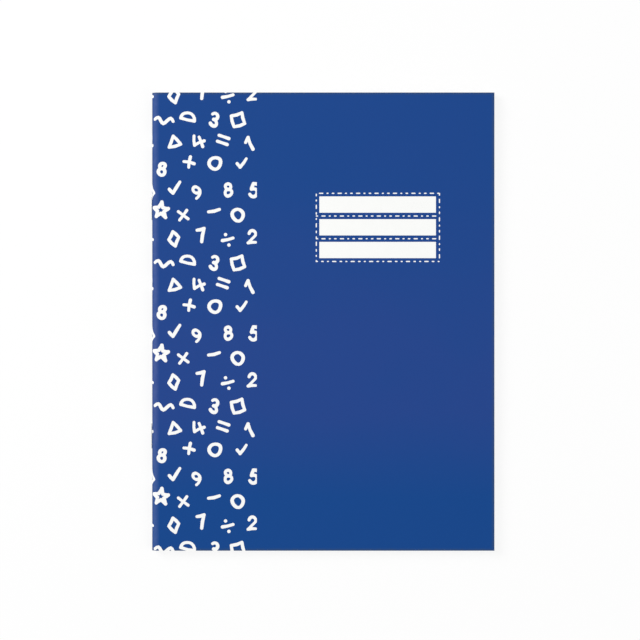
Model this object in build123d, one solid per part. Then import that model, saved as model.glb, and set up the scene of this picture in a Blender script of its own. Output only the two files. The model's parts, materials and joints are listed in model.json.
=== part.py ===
from build123d import *
import os

# A saddle-stitched exercise book, closed and lying on its back cover.
#
# Folded sheets nest one inside the other in a card cover, and two wire staples hold them through the fold.
# Every fold is a half tube about one line, the hinge line, and the staples' ends are clinched along that line.
# A sheet is two flat leaves with a slit fold between them, and the cover is two flat boards with its own fold.
# The fore-edge is trimmed after folding, so each sheet is a little shorter than the one outside it.
#
# +X runs from the spine to the fore-edge, +Y from the tail to the head, and +Z is up.
# The origin is under the middle of the book, on the surface that it lies on.

# Driving dimensions, in millimetres

BOOK_HEIGHT = 240.0  # tail to head
BOOK_WIDTH = 179.5  # back of the spine to the fore-edge
SHEET_COUNT = 25  # folded sheets, of two leaves each
PAPER_THICKNESS = 0.09
PAPER_AIR = 0.01  # between one sheet and the next
COVER_THICKNESS = 0.25
COVER_AIR = 0.02  # between the cover and the outermost sheet
WIRE_DIAMETER = 0.5
SLIT_CLEARANCE = 0.02  # between the wire and the slits that it passes, and under its crown
GUTTER_CLEARANCE = 0.05  # between the clinched wire and the innermost sheet
CROWN_LENGTH = 13.0  # between the middles of a staple's legs
CLINCH_GAP = 3.0  # between the two clinched ends of a staple
STAPLE_FROM_EDGE = 60.0  # from the head or the tail to the middle of the nearer staple

# Sizes and places that follow from them

WIRE_RADIUS = WIRE_DIAMETER / 2
SLIT_WIDTH = WIRE_DIAMETER + 2 * SLIT_CLEARANCE
GUTTER_RADIUS = WIRE_RADIUS + GUTTER_CLEARANCE
SHEET_PITCH = PAPER_THICKNESS + PAPER_AIR
BLOCK_RADIUS = GUTTER_RADIUS + SHEET_COUNT * SHEET_PITCH - PAPER_AIR
COVER_RADIUS = BLOCK_RADIUS + COVER_AIR
SPINE_RADIUS = COVER_RADIUS + COVER_THICKNESS
CROWN_REACH = SLIT_CLEARANCE + WIRE_DIAMETER

FORE_EDGE_X = (BOOK_WIDTH + CROWN_REACH) / 2
HINGE_X = FORE_EDGE_X - BOOK_WIDTH + SPINE_RADIUS
HINGE_Z = SPINE_RADIUS
CROWN_X = HINGE_X - SPINE_RADIUS - SLIT_CLEARANCE - WIRE_RADIUS
FLAT_START = GUTTER_RADIUS + SLIT_CLEARANCE  # from the hinge line to the flat of each leaf and board
FLAT_LENGTH = FORE_EDGE_X - HINGE_X - FLAT_START
STAPLE_Y = BOOK_HEIGHT / 2 - STAPLE_FROM_EDGE
LEG_Y = CROWN_LENGTH / 2

FRONT, BACK = 1, -1  # above and below the hinge line
HINGE_PLANE = Plane(origin=(HINGE_X, 0, HINGE_Z), x_dir=(1, 0, 0), z_dir=(0, -1, 0))


def sheet_radius(sheet):
    """Inside radius of a sheet's fold, with sheet 1 the outermost."""
    return GUTTER_RADIUS + (SHEET_COUNT - sheet) * SHEET_PITCH


def flat(inside, thickness, side):
    """A flat leaf or board, from the edge of its fold to the fore-edge."""
    middle_x = HINGE_X + FLAT_START + FLAT_LENGTH / 2
    middle_z = HINGE_Z + side * (inside + thickness / 2)
    return Pos(middle_x, 0, middle_z) * Box(FLAT_LENGTH, BOOK_HEIGHT, thickness)


def leg_slit(y):
    """The way of one staple leg through every fold, from outside the spine to the hinge line."""
    return Pos(HINGE_X - SPINE_RADIUS, y, HINGE_Z) * Box(2 * SPINE_RADIUS, SLIT_WIDTH, SLIT_WIDTH)


def fold(inside, thickness):
    """A half tube about the hinge line with a short flat at each end, slit for the staples' legs."""
    outside = inside + thickness
    tube = Circle(outside) - Circle(inside)
    profile = tube - Pos(outside, 0) * Rectangle(2 * outside, 2 * outside)
    for side in (FRONT, BACK):
        profile += Pos(FLAT_START / 2, side * (inside + thickness / 2)) * Rectangle(FLAT_START, thickness)
    strip = extrude(HINGE_PLANE * profile, amount=BOOK_HEIGHT / 2, both=True)
    for staple_y in (STAPLE_Y, -STAPLE_Y):
        for leg_y in (LEG_Y, -LEG_Y):
            strip -= leg_slit(staple_y + leg_y)
    return strip


def staple(middle_y):
    """One staple: crown along the spine, legs through the fold, ends clinched along the hinge line."""
    tip_y = CLINCH_GAP / 2
    route = [
        (HINGE_X, middle_y - tip_y, HINGE_Z),
        (HINGE_X, middle_y - LEG_Y, HINGE_Z),
        (CROWN_X, middle_y - LEG_Y, HINGE_Z),
        (CROWN_X, middle_y + LEG_Y, HINGE_Z),
        (HINGE_X, middle_y + LEG_Y, HINGE_Z),
        (HINGE_X, middle_y + tip_y, HINGE_Z),
    ]
    wire = Polyline(*route)
    section = Plane(origin=wire @ 0, z_dir=wire % 0) * Circle(WIRE_RADIUS)
    return sweep(section, path=wire, transition=Transition.ROUND)


def book():
    """Every piece of the book, by the name of its node."""
    sheets = range(1, SHEET_COUNT + 1)
    pieces = {
        "front_cover": flat(COVER_RADIUS, COVER_THICKNESS, FRONT),
        "back_cover": flat(COVER_RADIUS, COVER_THICKNESS, BACK),
        "cover_fold": fold(COVER_RADIUS, COVER_THICKNESS),
        "sheet_folds": Compound([fold(sheet_radius(sheet), PAPER_THICKNESS) for sheet in sheets]),
        "staples": Compound([staple(STAPLE_Y), staple(-STAPLE_Y)]),
    }
    for sheet in sheets:
        pieces[f"sheet_{sheet:02d}_front_leaf"] = flat(sheet_radius(sheet), PAPER_THICKNESS, FRONT)
        pieces[f"sheet_{sheet:02d}_back_leaf"] = flat(sheet_radius(sheet), PAPER_THICKNESS, BACK)
    return pieces


os.makedirs("parts", exist_ok=True)
for name, piece in book().items():
    export_step(piece, f"parts/{name}.step")
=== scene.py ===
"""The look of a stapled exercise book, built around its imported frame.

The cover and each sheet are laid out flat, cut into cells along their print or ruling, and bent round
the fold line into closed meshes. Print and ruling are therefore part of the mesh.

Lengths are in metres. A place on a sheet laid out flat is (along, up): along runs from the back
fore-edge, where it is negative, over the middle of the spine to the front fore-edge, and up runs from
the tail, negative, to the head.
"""

from __future__ import annotations

import json
import logging
import math
import random
from dataclasses import dataclass, field
from enum import Enum, IntEnum, auto
from functools import cached_property

import bpy
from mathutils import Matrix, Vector
from mathutils.geometry import delaunay_2d_cdt

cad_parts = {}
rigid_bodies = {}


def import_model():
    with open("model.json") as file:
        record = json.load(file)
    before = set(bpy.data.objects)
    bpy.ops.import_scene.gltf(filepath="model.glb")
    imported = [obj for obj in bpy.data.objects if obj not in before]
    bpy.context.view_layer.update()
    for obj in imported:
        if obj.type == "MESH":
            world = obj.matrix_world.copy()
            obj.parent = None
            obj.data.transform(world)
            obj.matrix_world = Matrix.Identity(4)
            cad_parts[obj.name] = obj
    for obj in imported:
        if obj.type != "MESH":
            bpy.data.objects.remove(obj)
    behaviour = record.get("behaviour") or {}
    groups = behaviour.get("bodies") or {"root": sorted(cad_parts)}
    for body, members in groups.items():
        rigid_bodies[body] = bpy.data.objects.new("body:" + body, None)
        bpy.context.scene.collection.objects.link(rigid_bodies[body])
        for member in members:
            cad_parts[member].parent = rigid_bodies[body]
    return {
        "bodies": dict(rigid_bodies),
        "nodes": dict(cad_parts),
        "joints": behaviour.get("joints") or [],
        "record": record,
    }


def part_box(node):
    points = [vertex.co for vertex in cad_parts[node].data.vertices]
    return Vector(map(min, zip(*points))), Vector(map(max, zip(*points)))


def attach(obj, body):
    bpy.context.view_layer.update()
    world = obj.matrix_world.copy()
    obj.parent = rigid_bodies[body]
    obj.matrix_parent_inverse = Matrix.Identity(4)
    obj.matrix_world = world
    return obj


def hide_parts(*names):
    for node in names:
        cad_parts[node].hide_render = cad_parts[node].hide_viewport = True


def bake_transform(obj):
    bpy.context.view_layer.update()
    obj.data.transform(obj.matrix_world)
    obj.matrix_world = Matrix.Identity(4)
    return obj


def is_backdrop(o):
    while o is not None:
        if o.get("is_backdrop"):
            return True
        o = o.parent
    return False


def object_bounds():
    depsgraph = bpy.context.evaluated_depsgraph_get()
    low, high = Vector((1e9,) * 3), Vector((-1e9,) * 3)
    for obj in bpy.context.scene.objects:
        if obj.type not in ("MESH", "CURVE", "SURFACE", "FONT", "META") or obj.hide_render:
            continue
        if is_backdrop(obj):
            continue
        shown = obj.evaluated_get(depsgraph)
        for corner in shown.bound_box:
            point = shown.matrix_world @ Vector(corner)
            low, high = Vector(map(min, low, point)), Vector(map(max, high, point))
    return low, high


LOG = logging.getLogger("exercise_book")

Point = tuple[float, float]
Place = tuple[float, float, float]
Colour = tuple[float, float, float]
Loop = list[Point]
Cell = tuple[int, ...]
Socket = bpy.types.NodeSocket
Material = bpy.types.Material

MM = 0.001
SHEET_COUNT = 25
STAPLE_FROM_EDGE = 60 * MM  # from the head or the tail to the middle of the nearer staple
SLIT_CLEARANCE = 0.02 * MM  # between a staple's leg and each side of its slit
FLAT_MAP = "laid_flat"

SIDES = (-1, 1)
WHOLE = (0.0, 1.0)
WHITE = (1.0, 1.0, 1.0)
NOISE_SPAN = (0.3, 0.7)  # holds nearly all of a noise
NOISE_CORE = (0.35, 0.65)  # holds most of it
NOISE_ROUGHNESS = 0.55
MIX_FIRST, MIX_SECOND, MIX_RESULT = 6, 7, 2  # a mix node's sockets for colours, by number


class CoverCell(IntEnum):
    """Finishes of the cover, in the order of its material slots."""

    PRINTED = 0
    BARE = 1
    CUT_EDGE = 2


class SheetCell(IntEnum):
    """Finishes of a sheet, in the order of its material slots."""

    PAPER = 0
    RULING = 1
    MARGIN = 2


class Cut(Enum):
    """What an outline on the flat cover goes round."""

    SHEET = auto()
    STRIP = auto()
    SLIT = auto()
    LABEL = auto()
    MARK = auto()


class Mark(Enum):
    """Marks that the printed strip is made of."""

    ONE = auto()
    TWO = auto()
    THREE = auto()
    FOUR = auto()
    FIVE = auto()
    SIX = auto()
    SEVEN = auto()
    EIGHT = auto()
    NINE = auto()
    PLUS = auto()
    MINUS = auto()
    TIMES = auto()
    DIVIDE = auto()
    EQUALS = auto()
    RING = auto()
    TRIANGLE = auto()
    SQUARE = auto()
    DIAMOND = auto()
    HALF_DISC = auto()
    WAVE = auto()
    TICK = auto()
    STAR = auto()


# Finishes


@dataclass(frozen=True)
class Clouds:
    """A noise over a piece laid out flat: its size along and up, and how many finer layers it has."""

    size: Point
    detail: float


SLOW_WAVES = Clouds((38 * MM, 60 * MM), 1.0)


class NodeWork:
    """The nodes of one material or world, with short ways to add them."""

    def __init__(self, owner: Material | bpy.types.World) -> None:
        """Start with no nodes.

        Args:
            owner: the material or world that the nodes belong to.
        """
        owner.use_nodes = True
        self.owner = owner
        self.tree = owner.node_tree
        self.tree.nodes.clear()

    def add(
        self, kind: str, feeds: dict[str | int, object] | None = None, **settings: object
    ) -> bpy.types.Node:
        """Add a node.

        Args:
            kind: Blender's name for the kind of node.
            feeds: a socket, a number or a colour for each of its inputs, by name or by number.
            settings: plain properties to set on it.

        Returns:
            The new node.
        """
        node = self.tree.nodes.new(kind)
        for key, value in settings.items():
            setattr(node, key, value)
        for key, value in (feeds or {}).items():
            target = node.inputs[key]
            if isinstance(value, Socket):
                self.tree.links.new(value, target)
            else:
                target.default_value = (*value, 1.0) if target.type == "RGBA" else value
        return node

    @cached_property
    def place(self) -> Socket:
        """The place on the piece as laid out flat, in metres."""
        return self.add("ShaderNodeUVMap", uv_map=FLAT_MAP).outputs["UV"]

    def along_and_up(self) -> tuple[Socket, Socket]:
        """The two parts of the place on the flat piece."""
        split = self.add("ShaderNodeSeparateXYZ", {"Vector": self.place}).outputs
        return split["X"], split["Y"]

    def noise(self, clouds: Clouds) -> Socket:
        """Cloudy noise over the flat piece.

        Args:
            clouds: the size and fineness of the noise.

        Returns:
            The noise, from 0 to 1 with a middle of about 0.5.
        """
        scale = (1 / clouds.size[0], 1 / clouds.size[1], 1.0)
        sized = self.add("ShaderNodeMapping", {"Vector": self.place, "Scale": scale}).outputs["Vector"]
        feeds = {"Vector": sized, "Scale": 1.0, "Detail": clouds.detail, "Roughness": NOISE_ROUGHNESS}
        return self.add("ShaderNodeTexNoise", feeds, noise_dimensions="3D").outputs["Fac"]

    def stretch(self, value: Socket, source: Point, target: Point) -> Socket:
        """A value mapped from its source range to the target range, and kept inside that."""
        ends = dict(zip(("From Min", "From Max", "To Min", "To Max"), (*source, *target)))
        return self.add("ShaderNodeMapRange", {"Value": value, **ends}, clamp=True).outputs["Result"]

    def combine(self, operation: str, *values: Socket) -> Socket:
        """The result of one of Blender's operations on one or two numbers."""
        return self.add("ShaderNodeMath", dict(enumerate(values)), operation=operation).outputs["Value"]

    def mix(self, share: Socket, first: Socket | Colour, second: Socket | Colour) -> Socket:
        """Two colours mixed, with that share of the second."""
        feeds = {"Factor": share, MIX_FIRST: first, MIX_SECOND: second}
        return self.add("ShaderNodeMix", feeds, data_type="RGBA").outputs[MIX_RESULT]

    def bump(self, height: Socket, depth: float, **under: Socket) -> Socket:
        """The normal of a height from 0 to 1 at that depth, over another one given as Normal, if any."""
        feeds = {"Height": height, "Strength": 1.0, "Distance": depth, **under}
        return self.add("ShaderNodeBump", feeds).outputs["Normal"]

    def waves(self, depth: float) -> Socket:
        """The normal of a sheet that doesn't lie quite flat, with slow waves of that depth."""
        return self.bump(self.noise(SLOW_WAVES), depth)

    def seen(self) -> Socket:
        """Tell the rays that make the picture from those that only carry light.

        Returns:
            1 for what is seen straight, in a reflection or through something clear, and 0 for the rest.
        """
        rays = self.add("ShaderNodeLightPath").outputs
        either = self.combine("MAXIMUM", rays["Is Camera Ray"], rays["Is Glossy Ray"])
        return self.combine("MAXIMUM", either, rays["Is Transmission Ray"])

    def surface(self, **feeds: Socket | float) -> Material:
        """Close the material with a surface shader.

        Args:
            feeds: what goes into the shader's inputs, with spaces in their names written as underscores.

        Returns:
            The finished material.
        """
        named = {key.replace("_", " "): value for key, value in feeds.items()}
        shader = self.add("ShaderNodeBsdfPrincipled", named)
        self.add("ShaderNodeOutputMaterial", {"Surface": shader.outputs["BSDF"]})
        return self.owner


def toned(colour: Colour, factor: float) -> Colour:
    """The colour made lighter or darker by a factor."""
    return (colour[0] * factor, colour[1] * factor, colour[2] * factor)


@dataclass(frozen=True)
class PrintedCard:
    """Card with a layer of ink and a thin matt varnish, greyish along its edges, with painted shade on the
    middle of the spine and a painted highlight on its shoulders.

    The ink is warmest below the middle of the sheet, and cools towards the head and more so at the tail.
    Where the painted shade and the painted highlight start and stop on the spine is told in shares of half
    the fold's width.
    """

    name: str
    ink: Colour
    # Greyish ink for the edges, and painted shade on the middle of the spine
    grey_and_spine_shade: Colour
    # Painted highlight on the spine's shoulders
    shoulder_highlight: Colour
    half_size: Point
    fold_half: float
    drift: Colour = (0.95, -0.025, 0.0)
    warm_from_tail: Point = (-92 * MM, -46 * MM)
    warm_to_head: Point = (-15 * MM, 75 * MM)
    warm_at_head: float = 0.38
    clouds: Clouds = Clouds((70 * MM, 55 * MM), 2.0)
    cloud_range: Point = (0.85, 1.15)
    grain: Clouds = Clouds((0.9 * MM, 1.1 * MM), 4.0)
    mottle_span: Point = (0.45, 0.8)
    mottle_share: float = 0.22
    mottle_tone: float = 1.35
    fibres: Clouds = Clouds((0.25 * MM, 0.6 * MM), 3.0)
    fibre_depth: float = 0.006 * MM
    wave_depth: float = 0.25 * MM
    roughness: Point = (0.67, 0.78)
    patches: Clouds = Clouds((3 * MM, 5 * MM), 4.0)
    fore_edge_wear: float = 1.8 * MM
    end_wear: float = 1.5 * MM
    edge_grey: float = 0.65
    # Painted shade on the middle of the spine, where the fold turns away from the light
    spine_shade: float = 0.35
    spine_shade_fade: Point = (0.2, 0.4)
    grey_and_shade_patches: Point = (0.5, 1.0)
    # Where the painted highlight on the spine's shoulders rises and falls
    highlight_rise: Point = (0.35, 0.5)
    highlight_fall: Point = (0.75, 1.22)
    highlight_range: Point = (0.1, 0.17)

    def drifted(self, way: float) -> Colour:
        """The ink where its layer is warmer, at 1, or cooler, at -1."""
        red, green, blue = (part * (1 + way * drift) for part, drift in zip(self.ink, self.drift))
        return (red, green, blue)

    def warmth(self, work: NodeWork) -> Socket:
        """How warm the ink is over the sheet.

        Args:
            work: the material's nodes.

        Returns:
            The warmth, from 0 to 1.
        """
        _, up = work.along_and_up()
        rise = work.stretch(up, self.warm_from_tail, WHOLE)
        fall = work.stretch(up, self.warm_to_head, (1.0, self.warm_at_head))
        clouds = work.stretch(work.noise(self.clouds), NOISE_CORE, self.cloud_range)
        return work.combine("MULTIPLY", work.combine("MULTIPLY", rise, fall), clouds)

    def on_spine(self, shares: Point) -> Point:
        """Distances from the middle of the spine, from shares of half the fold's width."""
        return (shares[0] * self.fold_half, shares[1] * self.fold_half)

    def worn(self, work: NodeWork, colour: Socket) -> Socket:
        """The ink's colour, dulled along its edges, with painted shade and a painted highlight on the
        spine.

        Args:
            work: the material's nodes.
            colour: the colour of the fresh ink.

        Returns:
            The colour, dulled to a greyish blue along the edges, darker on the middle of the spine as
            painted shade where the fold turns away from the light, and paler on the spine's shoulders as a
            painted highlight.
        """
        along, up = (work.combine("ABSOLUTE", part) for part in work.along_and_up())
        wide, high = self.half_size
        patches = work.noise(self.patches)
        fore_edge = work.stretch(along, (wide - self.fore_edge_wear, wide), (0.0, self.edge_grey))
        head_and_tail = work.stretch(up, (high - self.end_wear, high), (0.0, self.edge_grey))
        # Painted shade: darker ink on the middle of the spine, where the fold turns away from the light
        spine = work.stretch(along, self.on_spine(self.spine_shade_fade), (self.spine_shade, 0.0))
        grey_and_shade = work.combine("MAXIMUM", work.combine("MAXIMUM", fore_edge, head_and_tail), spine)
        grey_and_shade = work.combine("MULTIPLY", grey_and_shade, work.stretch(patches, NOISE_CORE, self.grey_and_shade_patches))
        # Painted highlight: paler ink on the spine's shoulders, where the rounded fold catches the light
        rise = work.stretch(along, self.on_spine(self.highlight_rise), WHOLE)
        fall = work.stretch(along, self.on_spine(self.highlight_fall), (1.0, 0.0))
        highlight_share = work.combine("MULTIPLY", rise, fall)
        highlight_share = work.combine("MULTIPLY", highlight_share, work.stretch(patches, NOISE_CORE, self.highlight_range))
        return work.mix(highlight_share, work.mix(grey_and_shade, colour, self.grey_and_spine_shade), self.shoulder_highlight)

    def material(self) -> Material:
        """Make the material.

        Returns:
            The new material.
        """
        work = NodeWork(bpy.data.materials.new(self.name))
        grain, fibres = work.noise(self.grain), work.noise(self.fibres)
        fresh = work.mix(self.warmth(work), self.drifted(-1.0), self.drifted(1.0))
        mottles = work.stretch(grain, self.mottle_span, (0.0, self.mottle_share))
        colour = self.worn(work, work.mix(mottles, fresh, toned(self.ink, self.mottle_tone)))
        roughness = work.stretch(grain, NOISE_SPAN, self.roughness)
        normal = work.bump(fibres, self.fibre_depth, Normal=work.waves(self.wave_depth))
        shine = {"Specular_IOR_Level": 0.2, "IOR": 1.48}
        return work.surface(Base_Color=colour, Roughness=roughness, Normal=normal, **shine)


@dataclass(frozen=True)
class PlainStock:
    """Unprinted card or paper, or paper under a thin ink, with faint clouds of fibre."""

    name: str
    tone: Colour
    shade: Colour
    roughness: float = 0.8
    roughness_spread: float = 0.06
    clouds: Clouds = Clouds((6 * MM, 7 * MM), 5.0)
    cloud_span: Point = (0.4, 0.75)
    fibres: Clouds = Clouds((0.3 * MM, 0.8 * MM), 4.0)
    fibre_span: Point = (0.5, 0.8)
    shade_share: float = 0.35
    fibre_depth: float = 0.008 * MM
    wave_depth: float = 0.25 * MM

    def material(self) -> Material:
        """Make the material.

        Returns:
            The new material.
        """
        work = NodeWork(bpy.data.materials.new(self.name))
        clouds, fibres = work.noise(self.clouds), work.noise(self.fibres)
        shading = (0.0, self.shade_share)
        broad = work.mix(work.stretch(clouds, self.cloud_span, shading), self.tone, self.shade)
        colour = work.mix(work.stretch(fibres, self.fibre_span, shading), broad, self.shade)
        spread = (self.roughness - self.roughness_spread, self.roughness + self.roughness_spread)
        roughness = work.stretch(fibres, NOISE_SPAN, spread)
        normal = work.bump(fibres, self.fibre_depth, Normal=work.waves(self.wave_depth))
        return work.surface(Base_Color=colour, Roughness=roughness, Normal=normal, Specular_IOR_Level=0.25)


@dataclass(frozen=True)
class DrawnWire:
    """Galvanised steel wire, drawn through a die, with fine streaks along its length."""

    name: str
    tone: Colour
    dull: Colour
    streaks: Clouds = Clouds((4 * MM, 0.06 * MM), 3.0)
    streak_depth: float = 0.004 * MM
    roughness: Point = (0.22, 0.42)
    spangle: Clouds = Clouds((0.8 * MM, 0.5 * MM), 2.0)
    spangle_span: Point = (0.4, 0.7)

    def material(self) -> Material:
        """Make the material.

        Returns:
            The new material.
        """
        work = NodeWork(bpy.data.materials.new(self.name))
        streaks, spangle = work.noise(self.streaks), work.noise(self.spangle)
        colour = work.mix(work.stretch(spangle, self.spangle_span, WHOLE), self.tone, self.dull)
        roughness = work.stretch(streaks, NOISE_SPAN, self.roughness)
        normal = work.bump(streaks, self.streak_depth)
        return work.surface(Base_Color=colour, Roughness=roughness, Normal=normal, Metallic=1.0)


@dataclass(frozen=True)
class StudioFloor:
    """A white floor that stays near white in the picture and keeps a soft shadow.

    Its own glow makes it white: partly so by the book, and more and more with distance.
    """

    name: str
    tone: Colour
    glow_share: float
    glow_rise: Point = (0.3, 0.8)

    def material(self) -> Material:
        """Make the material.

        Returns:
            The new material.
        """
        work = NodeWork(bpy.data.materials.new(self.name))
        matte = work.add("ShaderNodeBsdfDiffuse", {"Color": self.tone}).outputs["BSDF"]
        glow = work.add("ShaderNodeEmission", {"Color": WHITE}).outputs["Emission"]
        place = work.add("ShaderNodeNewGeometry").outputs["Position"]
        distance = work.add("ShaderNodeVectorMath", {0: place}, operation="LENGTH").outputs["Value"]
        share = work.stretch(distance, self.glow_rise, (self.glow_share, 1.0))
        shown = work.combine("MULTIPLY", work.seen(), share)
        mixed = work.add("ShaderNodeMixShader", {"Fac": shown, 1: matte, 2: glow})
        work.add("ShaderNodeOutputMaterial", {"Surface": mixed.outputs["Shader"]})
        return work.owner


# Meshes and folded sheets


def put(name: str, data: bpy.types.ID) -> bpy.types.Object:
    """Put a new object in the scene.

    Args:
        name: its name.
        data: its mesh, light or camera.

    Returns:
        The new object.
    """
    thing = bpy.data.objects.new(name, data)
    bpy.context.scene.collection.objects.link(thing)
    return thing


def mapped_mesh(
    name: str,
    places: list[Place] | list[Vector],
    faces: list[Cell],
    flat: list[Point],
    dress: list[Material],
    crease_deg: float,
) -> bpy.types.Mesh:
    """Make a smooth mesh with a flat map.

    Args:
        name: the mesh's name.
        places: its vertices.
        faces: its faces.
        flat: the place of each vertex on the flat map.
        dress: its materials.
        crease_deg: the angle, in degrees, above which an edge stays sharp.

    Returns:
        The new mesh.
    """
    mesh = bpy.data.meshes.new(name)
    mesh.from_pydata(places, [], faces)
    for material in dress:
        mesh.materials.append(material)
    mesh.polygons.foreach_set("use_smooth", [True] * len(faces))
    layer = mesh.uv_layers.new(name=FLAT_MAP)
    corners = [flat[loop.vertex_index] for loop in mesh.loops]
    layer.data.foreach_set("uv", [number for corner in corners for number in corner])
    mesh.set_sharp_from_angle(angle=math.radians(crease_deg))
    mesh.validate()
    return mesh


@dataclass(frozen=True)
class Slits:
    """Square slits that the staples' legs pass through, in the middle of each fold."""

    ups: list[float]
    half: float


@dataclass(frozen=True)
class Fold:
    """A folded sheet of paper or card: two flat halves and the half tube between them.

    Away from the fold the halves settle to their own distance from the middle of the book. In an open
    book the wire holds the middle of the fold, and the halves spring up a little beside it before they
    lie flat.
    """

    hinge: Point
    inside: float
    thickness: float
    reach: float
    half_height: float
    settled: float
    leg_half: float
    spring: float = 0.0
    settle_length: float = 16 * MM
    spring_length: float = 35 * MM
    held_length: float = 1 * MM

    @property
    def outside(self) -> float:
        """Radius of the outer face of the half tube."""
        return self.inside + self.thickness

    @property
    def half_arc(self) -> float:
        """Length along the outer face from the middle of the spine to the start of a flat half."""
        return self.outside * math.pi / 2

    @property
    def half_length(self) -> float:
        """Length along the outer face from the middle of the spine to a fore-edge."""
        return self.half_arc + self.reach

    @property
    def slit_half(self) -> float:
        """Half the width of a leg's slit along the outer face, so that its inner end is wide enough too."""
        return self.outside * math.asin(self.leg_half / self.inside)

    def arc_lines(self, steps: int) -> list[float]:
        """Evenly spaced lines over the half tube, both ends included."""
        return [(2 * step / steps - 1) * self.half_arc for step in range(steps + 1)]

    def bent(self, place: Point, inner: bool) -> Place:
        """Where a place on the flat sheet is once the sheet is folded.

        Args:
            place: the place on the flat sheet.
            inner: True for the inner face, False for the outer.

        Returns:
            The place in the frame.
        """
        along, up = place
        radius = self.inside if inner else self.outside
        past = abs(along) - self.half_arc
        if past > 0:
            share = min(1.0, past / self.settle_length)
            level = radius + (self.settled - self.inside) * share * share * (3 - 2 * share)
            return (self.hinge[0] + past, up, self.hinge[1] + math.copysign(level, along))
        turn = along / self.outside
        return (self.hinge[0] - radius * math.cos(turn), up, self.hinge[1] + radius * math.sin(turn))

    def front_share(self, along: float) -> float:
        """How much of the opening a place follows: about 0 on the back half and 1 on the front.

        The strip between the slits' sides turns with the wire, and the rest of the half tube gathers
        beside it.

        Args:
            along: the place along the flat sheet.

        Returns:
            The share, from 0 to 1.
        """
        past = abs(along) - self.half_arc
        held = self.slit_half / (2 * self.half_arc)
        if past > 0:
            lag = self.spring * math.exp(-past / self.spring_length)
            lag += held * math.exp(-past / self.held_length)
        else:
            gathered = max(0.0, abs(along) - self.slit_half) / (self.half_arc - self.slit_half)
            lag = 0.5 - (0.5 - self.spring - held) * gathered
        return 1.0 - lag if along > 0 else lag


@dataclass
class Layout:
    """A sheet laid out flat and cut into cells, with a finish for each cell's outer and inner face."""

    points: list[Point]
    cells: list[Cell] = field(default_factory=list)
    outer: list[int] = field(default_factory=list)
    inner: list[int] = field(default_factory=list)

    def rim(self) -> list[tuple[int, int]]:
        """Edges that only one cell has, in the order that the cell has them.

        Returns:
            The edges round the sheet and its slits.
        """
        edges = [(a, b) for cell in self.cells for a, b in zip(cell, cell[1:] + cell[:1])]
        known = set(edges)
        return [(a, b) for a, b in edges if (b, a) not in known]

    def trimmed(self) -> Layout:
        """Leave out the points that no cell has.

        Returns:
            The layout with only the points that its cells use.
        """
        used = sorted({i for cell in self.cells for i in cell})
        place = {old: new for new, old in enumerate(used)}
        cells = [tuple(place[i] for i in cell) for cell in self.cells]
        return Layout([self.points[i] for i in used], cells, self.outer, self.inner)


@dataclass(frozen=True)
class FoldedPiece:
    """A layout bent round its fold into one closed mesh.

    A shift of the flat map gives each sheet fibres and clouds of its own.
    """

    name: str
    fold: Fold
    layout: Layout
    rim_finish: int
    materials: list[Material]
    map_shift: float = 0.0
    crease_deg: float = 40.0

    def mesh(self) -> bpy.types.Mesh:
        """Make the mesh.

        Returns:
            The new mesh, with its finishes and its flat map.
        """
        points, count = self.layout.points, len(self.layout.points)
        places = [self.fold.bent(point, inner) for inner in (False, True) for point in points]
        faces = list(self.layout.cells)
        faces += [tuple(count + i for i in reversed(cell)) for cell in self.layout.cells]
        walls = self.layout.rim()
        faces += [(b, a, count + a, count + b) for a, b in walls]
        flat = [(along + self.map_shift, up) for along, up in points]
        mesh = mapped_mesh(self.name, places, faces, flat + flat, self.materials, self.crease_deg)
        finishes = self.layout.outer + self.layout.inner + [self.rim_finish] * len(walls)
        mesh.polygons.foreach_set("material_index", [int(finish) for finish in finishes])
        return mesh

    def build(self, back_body: str, front_body: str) -> bpy.types.Object:
        """Make the piece.

        Args:
            back_body: not used.
            front_body: not used.

        Returns:
            The new piece.
        """
        piece = put(self.name, self.mesh())
        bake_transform(piece)
        shares = [self.fold.front_share(along) for along, _ in self.layout.points]
        return piece


# Print

ARC_STEP_DEG = 20
ARC_LEAST_STEPS = 3
RING_STARTS_DEG = (80, 260)
RING_SWEEP_DEG = 190
CURVE_STEPS = 7


def on_circle(middle: Point, radius: float, angles: list[float]) -> Loop:
    """Points of a circle at angles in radians."""
    return [(middle[0] + radius * math.cos(a), middle[1] + radius * math.sin(a)) for a in angles]


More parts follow.
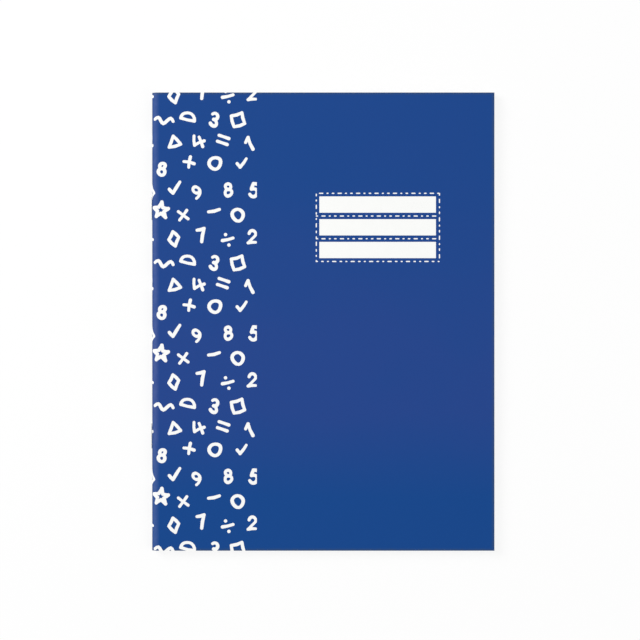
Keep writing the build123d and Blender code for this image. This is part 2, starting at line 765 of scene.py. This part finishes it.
@dataclass(frozen=True)
class Pen:
    """A round pen in an uneven hand, which turns the middle line of a stroke into its outline."""

    width: float
    uneven: float = 0.0
    phase: float = 0.0
    step_deg: float = 24.0
    swell: float = 4.0

    def half(self, share: float) -> float:
        """Half the width that the pen leaves at a share of the way along its stroke."""
        return self.width / 2 * (1 + self.uneven * math.sin(self.phase + self.swell * share))

    def tip(self, middle: Point, half: float, start: float, sweep: float) -> Loop:
        """Points of the pen's round tip from its start over a sweep, both angles in radians."""
        steps = max(1, math.ceil(abs(sweep) / math.radians(self.step_deg)))
        return on_circle(middle, half, [start + sweep * i / steps for i in range(steps + 1)])

    def trace(self, line: Loop) -> Loop:
        """Outline of a stroke.

        Args:
            line: the middle line of the stroke, without sharp turns; a single point is a dot.

        Returns:
            The outline.
        """
        if len(line) == 1:
            return self.tip(line[0], self.half(0.0), 0.0, math.tau)[:-1]
        last = len(line) - 1
        headings = [math.atan2(b[1] - a[1], b[0] - a[0]) for a, b in zip(line, line[1:])]
        left: Loop = []
        right: Loop = []
        for i, middle in enumerate(line):
            into, out = headings[max(i - 1, 0)], headings[min(i, last - 1)]
            turn = math.remainder(out - into, math.tau)
            reach = self.half(i / last) / math.cos(turn / 2)
            for side, quarter in ((left, math.pi / 2), (right, -math.pi / 2)):
                side += on_circle(middle, reach, [into + turn / 2 + quarter])
        end = self.tip(line[-1], self.half(1.0), headings[-1] + math.pi / 2, -math.pi)[1:-1]
        start = self.tip(line[0], self.half(0.0), headings[0] - math.pi / 2, -math.pi)[1:-1]
        return left + end + right[::-1] + start


def area(loop: Loop) -> float:
    """Area inside a loop, positive if it runs anticlockwise."""
    return sum(a[0] * b[1] - b[0] * a[1] for a, b in zip(loop, loop[1:] + loop[:1])) / 2


def rectangle(left: float, low: float, right: float, high: float) -> Loop:
    """Corners of an upright rectangle, anticlockwise from the lower left."""
    return [(left, low), (right, low), (right, high), (left, high)]


def arc(middle: Point, radius: float, start: float, stop: float) -> Loop:
    """Points of an arc between two angles in degrees, both ends included."""
    steps, sweep = max(ARC_LEAST_STEPS, math.ceil(abs(stop - start) / ARC_STEP_DEG)), stop - start
    return on_circle(middle, radius, [math.radians(start + sweep * i / steps) for i in range(steps + 1)])


def ring(middle: Point, radius: float) -> list[Loop]:
    """A ring drawn in two strokes, which meet with a small overlap."""
    return [arc(middle, radius, start, start + RING_SWEEP_DEG) for start in RING_STARTS_DEG]


def curve(start: Point, pull: Point, end: Point) -> Loop:
    """Points of a curve that leaves its start, and reaches its end, along lines to a third point."""
    shares = [i / CURVE_STEPS for i in range(CURVE_STEPS + 1)]
    return [
        tuple((1 - t) ** 2 * a + 2 * t * (1 - t) * b + t * t * c for a, b, c in zip(start, pull, end))
        for t in shares
    ]


def runs(*corners: Point) -> list[Loop]:
    """Straight strokes from each corner to the next, halved so that the hand can sway along them."""
    middles = [((a[0] + b[0]) / 2, (a[1] + b[1]) / 2) for a, b in zip(corners, corners[1:])]
    return [[a, middle, b] for a, middle, b in zip(corners, middles, corners[1:])]


def outline(corners: Loop) -> list[Loop]:
    """Straight strokes right round a shape."""
    return runs(*corners, corners[0])


def polygon(corners: int, radius: float, first: float) -> Loop:
    """Corners of a regular shape, with the first at that angle in degrees."""
    return on_circle((0, 0), radius, [math.radians(first + 360 * i / corners) for i in range(corners)])


def star(points: int, outer: float, inner: float) -> Loop:
    """Corners of a star with one point up."""
    tips, dents = polygon(points, outer, 90), polygon(points, inner, 90 + 180 / points)
    return [corner for pair in zip(tips, dents) for corner in pair]


MARK_STROKES: dict[Mark, list[Loop]] = {
    Mark.ONE: runs((-0.22, 0.24), (0.08, 0.5), (0.04, -0.5)),
    Mark.TWO: [arc((0, 0.22), 0.29, 165, -38) + [(-0.3, -0.5)], *runs((-0.3, -0.5), (0.36, -0.48))],
    Mark.THREE: [arc((0, 0.25), 0.26, 150, -90), arc((0, -0.26), 0.28, 90, -150)],
    Mark.FOUR: [*runs((-0.16, 0.5), (-0.38, -0.14), (0.42, -0.12)), *runs((0.2, 0.26), (0.14, -0.52))],
    Mark.FIVE: [*runs((0.3, 0.5), (-0.2, 0.48), (-0.23, 0.06)), arc((-0.01, -0.2), 0.3, 132, -145)],
    Mark.SIX: [curve((0.2, 0.52), (-0.25, 0.3), (-0.28, -0.22)), *ring((0, -0.22), 0.28)],
    Mark.SEVEN: runs((-0.3, 0.48), (0.3, 0.5), (-0.08, -0.5)),
    Mark.EIGHT: [*ring((0, 0.27), 0.23), *ring((0, -0.24), 0.28)],
    Mark.NINE: [*ring((0, 0.22), 0.28), curve((0.28, 0.22), (0.28, -0.3), (-0.06, -0.52))],
    Mark.PLUS: [*runs((-0.42, 0), (0.42, 0)), *runs((0, -0.42), (0, 0.42))],
    Mark.MINUS: runs((-0.42, 0), (0.42, 0)),
    Mark.TIMES: [*runs((-0.32, -0.32), (0.32, 0.32)), *runs((-0.32, 0.32), (0.32, -0.32))],
    Mark.DIVIDE: [*runs((-0.42, 0), (0.42, 0)), [(0, 0.42)], [(0, -0.42)]],
    Mark.EQUALS: [*runs((-0.38, 0.24), (0.38, 0.24)), *runs((-0.38, -0.22), (0.38, -0.22))],
    Mark.RING: ring((0, 0), 0.44),
    Mark.TRIANGLE: outline(polygon(3, 0.62, 90)),
    Mark.SQUARE: outline(polygon(4, 0.6, 45)),
    Mark.DIAMOND: outline([(0.42, 0), (0, 0.6), (-0.42, 0), (0, -0.6)]),
    Mark.HALF_DISC: [arc((0, -0.24), 0.54, 0, 180), *runs((-0.54, -0.24), (0.54, -0.24))],
    Mark.WAVE: [[(i / 8 - 0.75, 0.2 * math.sin(i * math.pi / 4)) for i in range(13)]],
    Mark.TICK: runs((-0.4, 0.0), (-0.12, -0.36), (0.44, 0.4)),
    Mark.STAR: outline(star(5, 0.7, 0.3)),
}


@dataclass(frozen=True)
class MarkPlace:
    """Where one mark is drawn, and how the hand sways as it draws."""

    middle: Point
    turn: float
    size: float
    phase: float
    sway: float = 0.035
    sway_rate: float = 5.0

    def placed(self, line: Loop) -> Loop:
        """A stroke swayed, turned, sized and moved to its place.

        Args:
            line: the stroke, in a mark about 1 high.

        Returns:
            The placed stroke.
        """
        c, s = self.size * math.cos(self.turn), self.size * math.sin(self.turn)
        found = []
        for x, y in line:
            across = x + self.sway * math.sin(self.sway_rate * y + self.phase)
            up = y + self.sway * math.sin(self.sway_rate * x + 2 * self.phase)
            found.append((self.middle[0] + across * c - up * s, self.middle[1] + across * s + up * c))
        return found


@dataclass(frozen=True)
class MarkStrip:
    """A printed strip of scattered marks, which runs round the spine and off the head and the tail."""

    fold: Fold
    reach: float
    overrun: float = 1 * MM
    repeat: float = 75 * MM
    rows: int = 6
    first_row: float = 6.5 * MM
    half_columns: int = 4
    mark_height: float = 6.4 * MM
    height_range: Point = (0.92, 1.1)
    pen_width: float = 1.6 * MM
    pen_range: Point = (0.94, 1.08)
    uneven: float = 0.1
    scatter: float = 1.9 * MM
    lean_deg: float = 24.0
    same_apart: float = 27 * MM
    seed: int = 39

    def edge(self) -> Loop:
        """Outline of the strip on the flat cover."""
        along, up = self.fold.half_arc + self.reach, self.fold.half_height + self.overrun
        return rectangle(-along, -up, along, up)

    def spots(self) -> list[Point]:
        """Where the marks of one repeat go, before they are scattered.

        Returns:
            The spots, in rows that are shifted by half a space in turn.
        """
        space = (self.fold.half_arc + self.reach - self.mark_height / 2) / self.half_columns
        found = []
        for row in range(self.rows):
            first = -self.half_columns + (0.5 if row % 2 == 0 else 0.0)
            count = 2 * self.half_columns + row % 2
            up = self.first_row + row * self.repeat / self.rows
            found += [((first + column) * space, up) for column in range(count)]
        return found

    def dealt(self, spots: list[Point], dice: random.Random) -> list[Mark]:
        """Choose a mark for each spot, other than those of the spots close by.

        Args:
            spots: the spots of one repeat.
            dice: where the choice comes from.

        Returns:
            One mark for each spot.
        """
        found: list[Mark] = []
        for along, up in spots:
            near = set()
            for mark, (other_along, other_up) in zip(found, spots):
                rise = abs(math.remainder(up - other_up, self.repeat))
                if math.hypot(along - other_along, rise) < self.same_apart:
                    near.add(mark)
            found.append(dice.choice([mark for mark in Mark if mark not in near]))
        return found

    def outlines(self) -> list[Loop]:
        """Outlines of every stroke in the strip.

        Returns:
            One outline for each stroke.
        """
        dice = random.Random(self.seed)
        half_height = self.fold.half_height
        repeats = math.ceil(half_height / self.repeat) + 1
        spots = self.spots()
        found: list[Loop] = []
        for mark, (along, up) in zip(self.dealt(spots, dice), spots):
            along += dice.uniform(-self.scatter, self.scatter)
            up += dice.uniform(-self.scatter, self.scatter)
            turn = math.radians(dice.uniform(-self.lean_deg, self.lean_deg))
            size = self.mark_height * dice.uniform(*self.height_range)
            phase = dice.uniform(0.0, math.tau)
            pen = Pen(self.pen_width * dice.uniform(*self.pen_range), self.uneven, phase)
            for copy in range(-repeats, repeats):
                middle = (along, up + copy * self.repeat)
                if abs(middle[1]) < half_height + self.mark_height:
                    place = MarkPlace(middle, turn, size, phase)
                    found += [pen.trace(place.placed(line)) for line in MARK_STROKES[mark]]
        return found


@dataclass(frozen=True)
class NameLabel:
    """Three white writing boxes in a frame of printed stitches, on the front board.

    Its places are distances from the spine's edge and from the head. The stitches repeat one long and
    two short ones. Each side of the frame, clockwise from the top, has its own start for the first long
    stitch, and the rows between the boxes share one.
    """

    fold: Fold
    pitch: float = 11.9 * MM
    box_left: float = 87.8 * MM
    box_right: float = 148.85 * MM
    box_top: float = 54.44 * MM
    box_height: float = 8.52 * MM
    box_count: int = 3
    frame_left: float = 86.2 * MM
    frame_right: float = 150.7 * MM
    frame_top: float = 52.8 * MM
    stitch_width: float = 0.62 * MM
    stitch_step_deg: float = 45.0
    stitches: tuple[float, ...] = (2.28 * MM, 1.1 * MM, 1.42 * MM)
    stitch_gap: float = 1.62 * MM
    round_starts: tuple[float, ...] = (1.44 * MM, 2.85 * MM, 5.66 * MM, 8.15 * MM)
    row_start: float = 2.62 * MM

    def on_board(self, from_spine: float, from_head: float) -> Point:
        """A place on the flat cover, from its distances to the spine's edge and to the head."""
        fold = self.fold
        return (fold.half_arc - fold.outside + from_spine, fold.half_height - from_head)

    def boxes(self) -> list[Loop]:
        """Outlines of the writing boxes.

        Returns:
            One outline for each box.
        """
        found = []
        for number in range(self.box_count):
            top = self.box_top + number * self.pitch
            left, high = self.on_board(self.box_left, top)
            right, low = self.on_board(self.box_right, top + self.box_height)
            found.append(rectangle(left, low, right, high))
        return found

    def stitched(self, start: Point, end: Point, first: float) -> list[Loop]:
        """A line of printed stitches from one place to another.

        Args:
            start: where the line starts.
            end: where it ends.
            first: how far along the line its first long stitch starts.

        Returns:
            One outline for each stitch.
        """
        pen, half = Pen(self.stitch_width, step_deg=self.stitch_step_deg), self.stitch_width / 2
        length = math.dist(start, end)
        way = ((end[0] - start[0]) / length, (end[1] - start[1]) / length)
        found, number = [], 0
        at = first - sum(self.stitches) - len(self.stitches) * self.stitch_gap
        while at < length:
            dash = self.stitches[number % len(self.stitches)]
            tips = (max(at + half, 0.0), min(at + dash - half, length))
            if tips[0] < tips[1]:
                found.append(pen.trace([(start[0] + way[0] * d, start[1] + way[1] * d) for d in tips]))
            at += dash + self.stitch_gap
            number += 1
        return found

    def frame(self) -> list[Loop]:
        """The stitches round and between the boxes.

        Returns:
            One outline for each stitch.
        """
        left, top = self.on_board(self.frame_left, self.frame_top)
        right, bottom = self.on_board(self.frame_right, self.frame_top + self.box_count * self.pitch)
        corners = [(left, top), (right, top), (right, bottom), (left, bottom)]
        found: list[Loop] = []
        for start, end, first in zip(corners, corners[1:] + corners[:1], self.round_starts):
            found += self.stitched(start, end, first)
        for number in range(1, self.box_count):
            level = top - number * self.pitch
            found += self.stitched((left, level), (right, level), self.row_start)
        return found


# Pieces of the book


@dataclass(frozen=True)
class Cover:
    """The card cover: two boards and the spine between them, with the print cut into its outer face.

    Cuts just past each end of the fold keep its bend out of the shading of the flat boards. Points that
    are closer than the tolerance, in millimetres, count as one when the flat cover is cut.
    """

    fold: Fold
    slits: Slits
    strip: MarkStrip
    label: NameLabel
    arc_steps: int = 24
    past_fold: tuple[float, ...] = (0.4 * MM, 1.2 * MM, 3.0 * MM)
    tolerance_mm: float = 0.001
    ink: Colour = (0.0053, 0.0492, 0.229)
    # Greyish ink for the edges, and painted shade on the middle of the spine
    grey_and_spine_shade: Colour = (0.045, 0.07, 0.075)
    # Painted highlight on the spine's shoulders
    shoulder_highlight: Colour = (0.26, 0.30, 0.50)
    white: Colour = (0.91, 0.915, 0.90)
    white_shade: float = 0.95
    white_roughness: float = 0.55
    edge: Colour = (0.74, 0.74, 0.73)
    edge_shade: float = 0.85
    edge_roughness: float = 0.9

    def outlines(self) -> dict[Cut, list[Loop]]:
        """Every outline that the flat cover is cut along.

        Returns:
            The outlines, by what they go round.
        """
        fold, slits = self.fold, self.slits
        wide, high, slit = fold.half_length, fold.half_height, fold.slit_half
        return {
            Cut.SHEET: [rectangle(-wide, -high, wide, high)],
            Cut.STRIP: [self.strip.edge()],
            Cut.SLIT: [rectangle(-slit, up - slits.half, slit, up + slits.half) for up in slits.ups],
            Cut.LABEL: self.label.boxes() + self.label.frame(),
            Cut.MARK: self.strip.outlines(),
        }

    def cut(self, loops: list[Loop]) -> tuple[list[Point], list[Cell], list[list[int]]]:
        """Cut the flat plane along loops and along the lines where the cover bends.

        Args:
            loops: the outlines to cut along.

        Returns:
            The points, the triangles between them and, for each triangle, the loops that it is inside.
        """
        corners: list[Vector] = []
        faces = []
        for loop in loops:
            faces.append(list(range(len(corners), len(corners) + len(loop))))
            anticlockwise = loop if area(loop) > 0 else loop[::-1]
            corners += [Vector((x / MM, y / MM)) for x, y in anticlockwise]
        edges = []
        bends = self.fold.arc_lines(self.arc_steps)
        bends += [side * (self.fold.half_arc + past) for past in self.past_fold for side in SIDES]
        for along in bends:
            edges.append((len(corners), len(corners) + 1))
            corners += [Vector((along / MM, side * self.fold.half_height / MM)) for side in SIDES]
        found = delaunay_2d_cdt(corners, edges, faces, 0, self.tolerance_mm, True)
        places, _, triangles, _, _, owners = found
        points = [(place.x * MM, place.y * MM) for place in places]
        cells = []
        for cell in triangles:
            upright = area([points[i] for i in cell]) > 0
            cells.append(tuple(cell) if upright else tuple(reversed(cell)))
        return points, cells, owners

    def layout(self) -> Layout:
        """Cut the flat cover along its print, its slits and the lines where it bends.

        Returns:
            The layout.
        """
        loops: list[Loop] = []
        kinds: list[Cut] = []
        for kind, members in self.outlines().items():
            loops += members
            kinds += [kind] * len(members)
        points, cells, owners = self.cut(loops)
        layout = Layout(points)
        for cell, numbers in zip(cells, owners):
            within = {kinds[number] for number in numbers}
            if Cut.SHEET not in within or Cut.SLIT in within:
                continue
            bare = Cut.LABEL in within or {Cut.STRIP, Cut.MARK} <= within
            layout.cells.append(cell)
            layout.outer.append(CoverCell.BARE if bare else CoverCell.PRINTED)
            layout.inner.append(CoverCell.BARE)
        return layout.trimmed()

    def materials(self) -> list[Material]:
        """Make the cover's materials.

        Returns:
            The materials, in the order of the cover's finishes.
        """
        size = (self.fold.half_length, self.fold.half_height)
        pale, dim = toned(self.white, self.white_shade), toned(self.edge, self.edge_shade)
        finishes = [
            PrintedCard("printed_card", self.ink, self.grey_and_spine_shade, self.shoulder_highlight, size, self.fold.half_arc),
            PlainStock("bare_card", self.white, pale, self.white_roughness),
            PlainStock("cut_card", self.edge, dim, self.edge_roughness),
        ]
        return [finish.material() for finish in finishes]

    def build(self) -> bpy.types.Object:
        """Make the cover.

        Returns:
            The new piece.
        """
        materials = self.materials()
        piece = FoldedPiece("printed_cover", self.fold, self.layout(), CoverCell.CUT_EDGE, materials)
        cover = piece.build("back_cover", "front_cover")
        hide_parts("front_cover", "back_cover", "cover_fold")
        return cover


@dataclass(frozen=True)
class Ruling:
    """Printed lines of a page, with a margin line by the fore-edge.

    The shift is how far the whole print is off its place.
    """

    shift: Point
    pitch: float = 8 * MM
    line: float = 0.28 * MM
    head: float = 24 * MM
    tail: float = 12 * MM
    margin: float = 22 * MM

    def levels(self, half_height: float) -> list[float]:
        """Heights of the ruled lines on a page.

        Args:
            half_height: half the height of the page.

        Returns:
            The heights, from the head down.
        """
        count = int((2 * half_height - self.head - self.tail) / self.pitch) + 1
        first = half_height - self.head + self.shift[1]
        return [first - self.pitch * i for i in range(count)]


def both_sides(places: list[float], half: float) -> set[float]:
    """The two edges of a band at each place, from half the band's width."""
    return {place + side * half for place in places for side in SIDES}


def in_band(value: float, places: list[float], half: float) -> bool:
    """Whether a value is inside a band at any of the places, from half the band's width."""
    return any(abs(value - place) < half for place in places)


@dataclass(frozen=True)
class RuledSheet:
    """One folded sheet of ruled paper: a front leaf, a back leaf and the slit fold between them.

    Its cells are closer together beside the fold, where the leaves bend.
    """

    number: int
    fold: Fold
    slits: Slits
    ruling: Ruling
    materials: list[Material]
    arc_steps: int = 10
    leaf_steps: int = 22
    closer: float = 2.3
    fibre_shift: float = 13 * MM

    def layout(self) -> Layout:
        """Cut the flat sheet along its ruling, its slits and the lines where it bends.

        Returns:
            The layout.
        """
        fold, slits, half_line = self.fold, self.slits, self.ruling.line / 2
        levels = self.ruling.levels(fold.half_height)
        from_spine = fold.half_length - self.ruling.margin
        margins = [self.ruling.shift[0] + side * from_spine for side in SIDES]
        steps = [step / self.leaf_steps for step in range(1, self.leaf_steps)]
        bends = [fold.half_arc + fold.reach * step**self.closer for step in steps]
        ups = {-fold.half_height, fold.half_height}
        ups |= both_sides(levels, half_line) | both_sides(slits.ups, slits.half)
        alongs = {side * end for end in (*bends, fold.half_length, fold.slit_half) for side in SIDES}
        alongs |= both_sides(margins, half_line) | set(fold.arc_lines(self.arc_steps))
        columns, rows = sorted(alongs), sorted(ups)
        layout = Layout([(along, up) for up in rows for along in columns])
        for row, (low, high) in enumerate(zip(rows, rows[1:])):
            for column, (left, right) in enumerate(zip(columns, columns[1:])):
                along, up = (left + right) / 2, (low + high) / 2
                if abs(along) < fold.slit_half and in_band(up, slits.ups, slits.half):
                    continue
                finish = SheetCell.PAPER
                if in_band(along, margins, half_line):
                    finish = SheetCell.MARGIN
                elif in_band(up, levels, half_line):
                    finish = SheetCell.RULING
                first = row * len(columns) + column
                above = first + len(columns)
                layout.cells.append((first, first + 1, above + 1, above))
                layout.outer.append(finish)
                layout.inner.append(finish)
        return layout

    def build(self) -> bpy.types.Object:
        """Make the sheet.

        Returns:
            The new piece.
        """
        name = f"sheet_{self.number:02d}"
        back, front = f"{name}_back_leaf", f"{name}_front_leaf"
        cells, shift = self.layout(), self.number * self.fibre_shift
        piece = FoldedPiece(f"ruled_{name}", self.fold, cells, SheetCell.PAPER, self.materials, shift)
        sheet = piece.build(back, front)
        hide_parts(back, front, "sheet_folds")
        return sheet


@dataclass(frozen=True)
class Staples:
    """Two wire staples: a crown along the spine, legs through the fold and ends clinched in the gutter."""

    crown_x: float
    hinge: Point
    middles: list[float]
    leg: float
    radius: float
    tip: float = 1.5 * MM
    bend: float = 0.34 * MM
    bend_steps: int = 5
    sides: int = 14
    crease_deg: float = 50.0
    finish: DrawnWire = DrawnWire("staple_wire", tone=(0.60, 0.61, 0.62), dull=(0.42, 0.43, 0.44))

    def path(self, middle: float) -> list[Vector]:
        """Middle line of one staple's wire, with its bends rounded.

        Args:
            middle: where the middle of the crown is along the spine.

        Returns:
            The points of the line, which all have the same z.
        """
        x, z = self.hinge
        turns = [(x, -self.tip), (x, -self.leg), (self.crown_x, -self.leg)]
        turns += [(self.crown_x, self.leg), (x, self.leg), (x, self.tip)]
        corners = [Vector((across, middle + along, z)) for across, along in turns]
        line = [corners[0]]
        for before, corner, after in zip(corners, corners[1:], corners[2:]):
            start = corner + (before - corner).normalized() * self.bend
            end = corner + (after - corner).normalized() * self.bend
            for step in range(self.bend_steps + 1):
                share = step / self.bend_steps
                line.append(start.lerp(corner, share).lerp(corner.lerp(end, share), share))
        return line + [corners[-1]]

    def skin(self, line: list[Vector]) -> list[tuple[Vector, Point]]:
        """Points of the wire's round skin along a line, ring by ring.

        Args:
            line: the middle line of the wire.

        Returns:
            For each point, its place in the frame and on the unrolled skin.
        """
        up = Vector((0, 0, 1))
        found, length = [], 0.0
        for before, middle, after in zip([line[0], *line], line, [*line[1:], line[-1]]):
            across = (after - before).normalized().cross(up)
            length += (middle - before).length
            for side in range(self.sides):
                angle = math.tau * side / self.sides
                place = middle + self.radius * (math.cos(angle) * across + math.sin(angle) * up)
                found.append((place, (length, self.radius * angle)))
        return found

    def faces(self, rings: int, base: int) -> list[Cell]:
        """Faces over the rings of one wire, with a cap at each end.

        Args:
            rings: how many rings the wire has.
            base: the number of its first point.

        Returns:
            The faces.
        """
        last = base + (rings - 1) * self.sides
        found = []
        for here in range(base, last, self.sides):
            there = here + self.sides
            for side in range(self.sides):
                turn = (side + 1) % self.sides
                found.append((here + side, there + side, there + turn, here + turn))
        found.append(tuple(range(base, base + self.sides)))
        found.append(tuple(reversed(range(last, last + self.sides))))
        return found

    def build(self) -> bpy.types.Object:
        """Make both staples as one piece.

        Returns:
            The new piece.
        """
        faces: list[Cell] = []
        points: list[tuple[Vector, Point]] = []
        for middle in self.middles:
            line = self.path(middle)
            faces += self.faces(len(line), len(points))
            points += self.skin(line)
        places, flat = [place for place, _ in points], [spot for _, spot in points]
        dress = [self.finish.material()]
        wire = mapped_mesh("wire_staples", places, faces, flat, dress, self.crease_deg)
        staples = put("wire_staples", wire)
        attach(staples, "binding")
        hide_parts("staples")
        return staples


@dataclass(frozen=True)
class ExerciseBook:
    """The whole book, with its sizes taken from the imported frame."""

    hinge: Point
    fore_edge: float
    half_height: float
    slits: Slits
    staples: Staples
    strip_reach: float = 52.0 * MM
    middle_gap: float = 0.01 * MM
    spring: float = 0.08
    trim: float = 0.1 * MM
    page_waves: float = 2.2 * MM
    paper_tones: tuple[float, ...] = (1.0, 0.97, 0.94)
    ruling_scatter: float = 0.3 * MM
    seed: int = 5

    @classmethod
    def from_frame(cls, frame: dict) -> ExerciseBook:
        """Read the book's sizes from the frame.


        Returns:
            The book.
        """
        joint = next(j for j in frame["joints"] if j["name"] == "front_cover_turn")
        hinge = (joint["pos_m"][0], joint["pos_m"][2])
        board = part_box("front_cover")
        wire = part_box("staples")
        radius = (wire[1].z - wire[0].z) / 2
        middle = board[1].y - STAPLE_FROM_EDGE
        leg = wire[1].y - radius - middle
        staples = Staples(wire[0].x + radius, hinge, [middle, -middle], leg, radius)
        ups = [m + side * leg for m in staples.middles for side in SIDES]
        return cls(hinge, board[1].x, board[1].y, Slits(ups, radius + SLIT_CLEARANCE), staples)

    def cover_fold(self) -> Fold:
        """The cover's fold, whose boards stay where the frame has them.

        Returns:
            The fold.
        """
        low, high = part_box("front_cover")
        inside, reach = low.z - self.hinge[1], self.fore_edge - self.hinge[0]
        return Fold(self.hinge, inside, high.z - low.z, reach, self.half_height, inside, self.slits.half)

    def sheet_fold(self, number: int, trim: float) -> Fold:
        """The fold of one sheet, whose leaves close up the gutter's gap towards the fore-edge.

        Args:
            number: the sheet's number, from 1 outside to the last inside.
            trim: how much shorter the sheet is cut at the fore-edge.

        Returns:
            The fold.
        """
        low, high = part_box(f"sheet_{number:02d}_front_leaf")
        inside = low.z - self.hinge[1]
        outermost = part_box("sheet_01_front_leaf")[0].z - self.hinge[1]
        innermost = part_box(f"sheet_{SHEET_COUNT:02d}_front_leaf")[0].z - self.hinge[1]
        share = (inside - innermost) / (outermost - innermost)
        return Fold(
            self.hinge,
            inside,
            high.z - low.z,
            self.fore_edge - self.hinge[0] - trim,
            self.half_height,
            settled=self.middle_gap + share * (outermost - self.middle_gap),
            leg_half=self.slits.half,
            spring=self.spring * (1 - share),
        )

    def paper(self, tone: float) -> list[Material]:
        """Paper and ruling inks for one making of paper.

        Args:
            tone: how light the paper is, about 1.

        Returns:
            The materials, in the order of a sheet's finishes.
        """
        inks = {
            "writing_paper": ((0.88, 0.875, 0.85), (0.835, 0.825, 0.79)),
            "ruling_ink": ((0.36, 0.49, 0.68), (0.46, 0.57, 0.72)),
            "margin_ink": ((0.76, 0.33, 0.36), (0.79, 0.44, 0.46)),
        }
        return [
            PlainStock(name, toned(ink, tone), toned(shade, tone), wave_depth=self.page_waves).material()
            for name, (ink, shade) in inks.items()
        ]

    def build(self) -> list[bpy.types.Object]:
        """Make every piece.

        Returns:
            The new pieces, from the cover inwards.
        """
        spine = self.cover_fold()
        strip, label = MarkStrip(spine, self.strip_reach), NameLabel(spine)
        pieces = [Cover(spine, self.slits, strip, label).build()]
        dice = random.Random(self.seed)
        papers = [self.paper(tone) for tone in self.paper_tones]
        for number in range(1, SHEET_COUNT + 1):
            fold = self.sheet_fold(number, dice.uniform(0.0, self.trim))
            paper = papers[dice.randrange(len(papers))]
            aside, above = (dice.uniform(-self.ruling_scatter, self.ruling_scatter) for _ in range(2))
            pieces.append(RuledSheet(number, fold, self.slits, Ruling((aside, above)), paper).build())
        pieces.append(self.staples.build())
        return pieces


# Studio


@dataclass(frozen=True)
class Softbox:
    """A square area light that points at the book."""

    name: str
    place: Place
    size: float
    power: float

    def build(self) -> None:
        """Make the light."""
        data = bpy.data.lights.new(self.name, "AREA")
        data.size = self.size
        data.energy = self.power
        light = put(self.name, data)
        light.location = self.place
        light.rotation_euler = (-Vector(self.place)).to_track_quat("-Z", "Y").to_euler()


@dataclass(frozen=True)
class Studio:
    """White floor, even daylight from all round, two softboxes and a camera straight above the book."""

    book_top: float
    camera_offset: Point = (-1.35 * MM, 0.84 * MM)
    camera_height: float = 0.9311
    lens: float = 100.0
    sensor: float = 36.0
    clip: Point = (0.01, 20.0)
    daylight: float = 0.5
    key: Softbox = Softbox("key_softbox", (-1.1, 0.7, 1.25), size=1.0, power=21.0)
    fill: Softbox = Softbox("fill_softbox", (1.2, -0.5, 1.3), size=1.2, power=7.5)
    floor: StudioFloor = StudioFloor("studio_white", tone=(0.92, 0.92, 0.92), glow_share=0.82)
    floor_half: float = 4.0
    floor_drop: float = 0.02 * MM

    def build_floor(self) -> None:
        """Make the floor."""
        half = self.floor_half
        mesh = bpy.data.meshes.new("studio_floor")
        corners = [(x, y, -self.floor_drop) for x, y in rectangle(-half, -half, half, half)]
        mesh.from_pydata(corners, [], [(0, 1, 2, 3)])
        mesh.materials.append(self.floor.material())
        floor = put("studio_floor", mesh)
        floor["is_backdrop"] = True

    def build_world(self) -> None:
        """Make the surroundings: even light, seen as white."""
        world = bpy.data.worlds.new("studio_daylight")
        bpy.context.scene.world = world
        work = NodeWork(world)
        strength = work.stretch(work.seen(), WHOLE, (self.daylight, 1.0))
        sky = work.add("ShaderNodeBackground", {"Color": WHITE, "Strength": strength})
        work.add("ShaderNodeOutputWorld", {"Surface": sky.outputs["Background"]})

    def build_camera(self) -> None:
        """Make the camera, straight above the cover."""
        data = bpy.data.cameras.new("photo_camera")
        data.lens = self.lens
        data.sensor_width = self.sensor
        data.clip_start, data.clip_end = self.clip
        camera = put("photo_camera", data)
        camera.location = (*self.camera_offset, self.book_top + self.camera_height)
        bpy.context.scene.camera = camera

    def build(self) -> None:
        """Make the whole studio."""
        self.build_world()
        self.build_floor()
        self.key.build()
        self.fill.build()
        self.build_camera()
        bpy.context.scene.view_settings.view_transform = "Standard"


def main() -> None:
    """Build the book and the studio, with the camera set above the frame's top, and report each piece."""
    logging.basicConfig(level=logging.INFO, format="%(name)s: %(message)s")
    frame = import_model()
    cad_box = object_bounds()
    book = ExerciseBook.from_frame(frame)
    for piece in book.build():
        LOG.info("%s: %d faces", piece.name, len(piece.data.polygons))
    Studio(cad_box[1].z).build()


if __name__ == "__main__":
    main()
